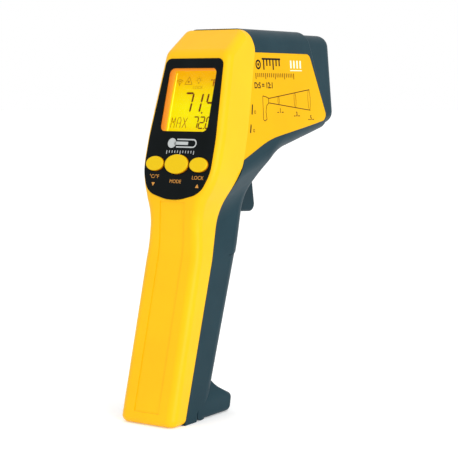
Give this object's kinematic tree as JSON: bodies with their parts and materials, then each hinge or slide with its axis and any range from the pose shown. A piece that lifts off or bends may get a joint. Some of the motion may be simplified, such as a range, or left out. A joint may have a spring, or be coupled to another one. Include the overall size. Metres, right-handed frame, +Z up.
{
  "type": "infrared thermometer",
  "caption": "Handheld pistol-grip infrared thermometer: sloping rear panel with lit display and oval keys, boxy sensor barrel, trigger, and a hinged battery door in the grip.",
  "frame": {"origin": "On the flat foot strip of the grip, in the middle plane, just ahead of the parting line between the two shells.", "axes": "+Z up, along the height of the instrument; +Y towards the muzzle; +X towards the instrument's right-hand side."},
  "size_m": [0.048, 0.1536, 0.2008],
  "materials": {
    "yellow_shell": "fine satin texture",
    "slate_shell": "fine satin texture",
    "slate_trigger": "fine satin texture",
    "panel_black": "gloss overlay film",
    "clear_window": "clear, polished",
    "amber_frame": "amber light guide",
    "lcd_glass": "lit yellow display",
    "backlight": "diffuser",
    "zebra": "striped elastomer connector",
    "key_yellow": "soft satin",
    "label_yellow": "printed film",
    "board_green": "solder mask",
    "chip_black": "moulded epoxy",
    "switch_metal": "pressed cover",
    "switch_black": "moulded case",
    "steel": "ground",
    "spring_steel": "drawn wire",
    "black_insert": "matt",
    "optic_aluminium": "black anodised inside",
    "ring_black": "satin",
    "lens_glass": "polished, coated",
    "can_metal": "nickel plated",
    "laser_brass": "turned",
    "laser_glass": "red tinted",
    "ribbon_white": "flat cable",
    "battery_case": "printed steel sleeve",
    "snap_black": "vinyl",
    "foam_pad": "closed-cell foam",
    "lead_red": "insulated wire",
    "lead_black": "insulated wire"
  },
  "bodies": {
    "root": {"rear_shell": "yellow_shell", "front_shell": "slate_shell", "door_hinge_pin": "steel", "keypad_panel": "panel_black", "lcd_window": "clear_window", "lcd_frame": "amber_frame", "lcd_glass": "lcd_glass", "backlight": "backlight", "lcd_connector": "zebra", "main_board": "board_green", "board_chips": "chip_black", "tact_switches": "switch_metal", "board_screws": "steel", "side_label_right": "label_yellow", "side_label_left": "label_yellow", "trigger_pin": "steel", "trigger_switch": "switch_black", "trigger_spring": "spring_steel", "muzzle_plate": "black_insert", "sensor_board": "board_green", "lens_barrel": "optic_aluminium", "lens_ring": "ring_black", "thermopile": "can_metal", "ir_lens": "lens_glass", "laser_module": "laser_brass", "laser_holder": "black_insert", "laser_window": "laser_glass", "sensor_ribbon": "ribbon_white", "battery_9v": "battery_case", "battery_snap": "snap_black", "battery_lead_red": "lead_red", "battery_lead_black": "lead_black", "case_screws": "steel"},
    "trigger": {"trigger": "slate_trigger"},
    "key_units": {"button_units": "key_yellow"},
    "key_mode": {"button_mode": "key_yellow"},
    "key_lock": {"button_lock": "key_yellow"},
    "door": {"battery_door": "slate_shell", "battery_pad": "foam_pad"}
  },
  "joints": [
    {"name": "trigger_pull", "type": "hinge", "parent": "root", "child": "trigger", "pos_m": [0, 0.062, 0.1352], "axis": [-1, 0, 0], "range_deg": [0, 10], "stiffness_Nm_per_rad": 0.25, "springref_deg": -2.86, "deforming": ["trigger_spring"]},
    {"name": "battery_door_open", "type": "hinge", "parent": "root", "child": "door", "pos_m": [0, 0.00853, 0.0027], "axis": [-1, 0, 0], "range_deg": [0, 75]},
    {"name": "button_units_press", "type": "slide", "parent": "root", "child": "key_units", "axis": [0, 0.9598, -0.2806], "range_m": [0, 0.0006], "stiffness_N_per_m": 800},
    {"name": "button_mode_press", "type": "slide", "parent": "root", "child": "key_mode", "axis": [0, 0.9598, -0.2806], "range_m": [0, 0.0006], "stiffness_N_per_m": 800},
    {"name": "button_lock_press", "type": "slide", "parent": "root", "child": "key_lock", "axis": [0, 0.9598, -0.2806], "range_m": [0, 0.0006], "stiffness_N_per_m": 800}
  ]
}
